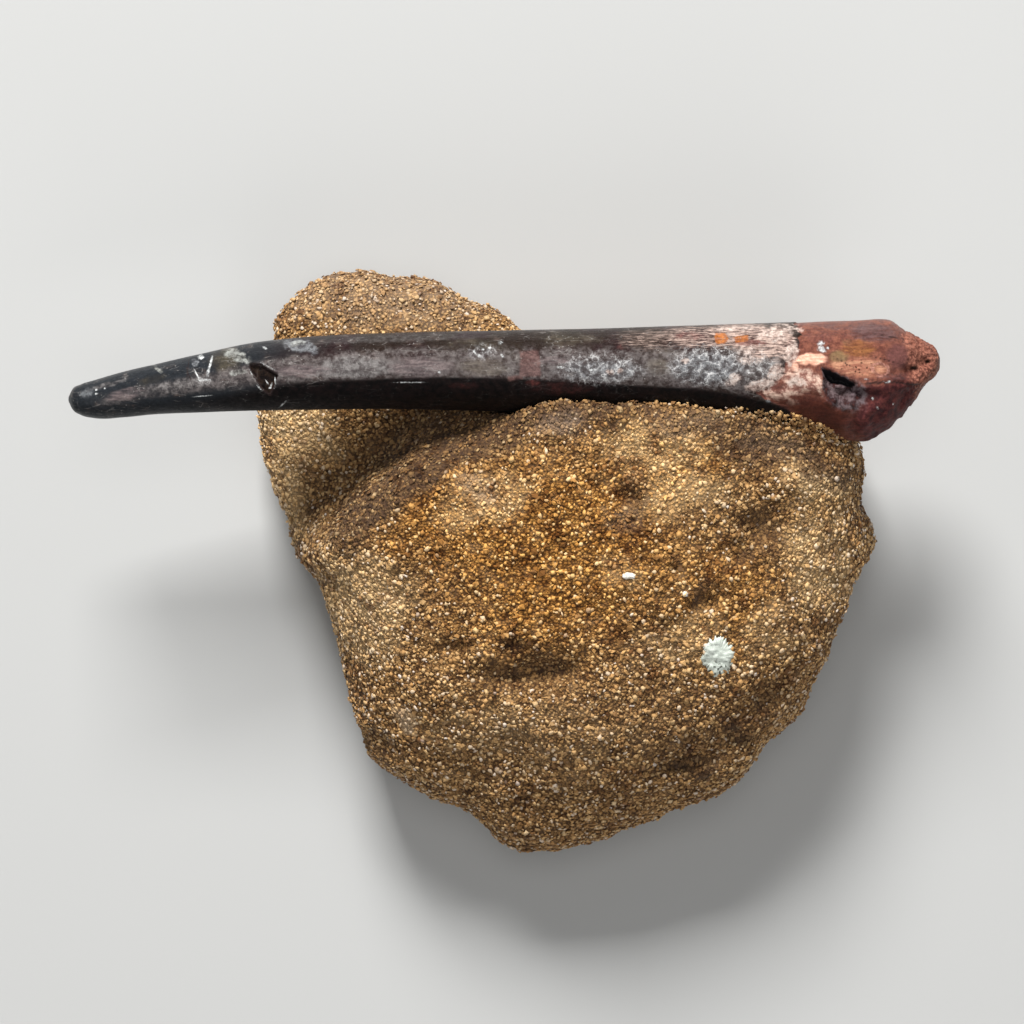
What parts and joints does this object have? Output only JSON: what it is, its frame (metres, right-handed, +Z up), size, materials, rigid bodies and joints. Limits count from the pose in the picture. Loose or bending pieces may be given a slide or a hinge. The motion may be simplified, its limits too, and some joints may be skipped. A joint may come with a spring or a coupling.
{
  "type": "fossil spinosaurus tooth on sandstone matrix",
  "caption": "Long slender fossil theropod tooth, blunt worn tip and broken root, bedded along the edge of a loose lump of coarse ochre sandstone.",
  "frame": {"origin": "centre of the whole piece's footprint, on the surface that the stone lies on", "axes": "+X along the tooth from tip to broken root, +Y from the stone towards the tooth's edge, +Z up from the stone's flat underside"},
  "size_m": [0.1059, 0.0733, 0.0302],
  "materials": {
    "fossil_enamel": "satin",
    "sandstone": "matte"
  },
  "bodies": {
    "root": {"tooth": "fossil_enamel", "sandstone_matrix": "sandstone"}
  },
  "joints": []
}
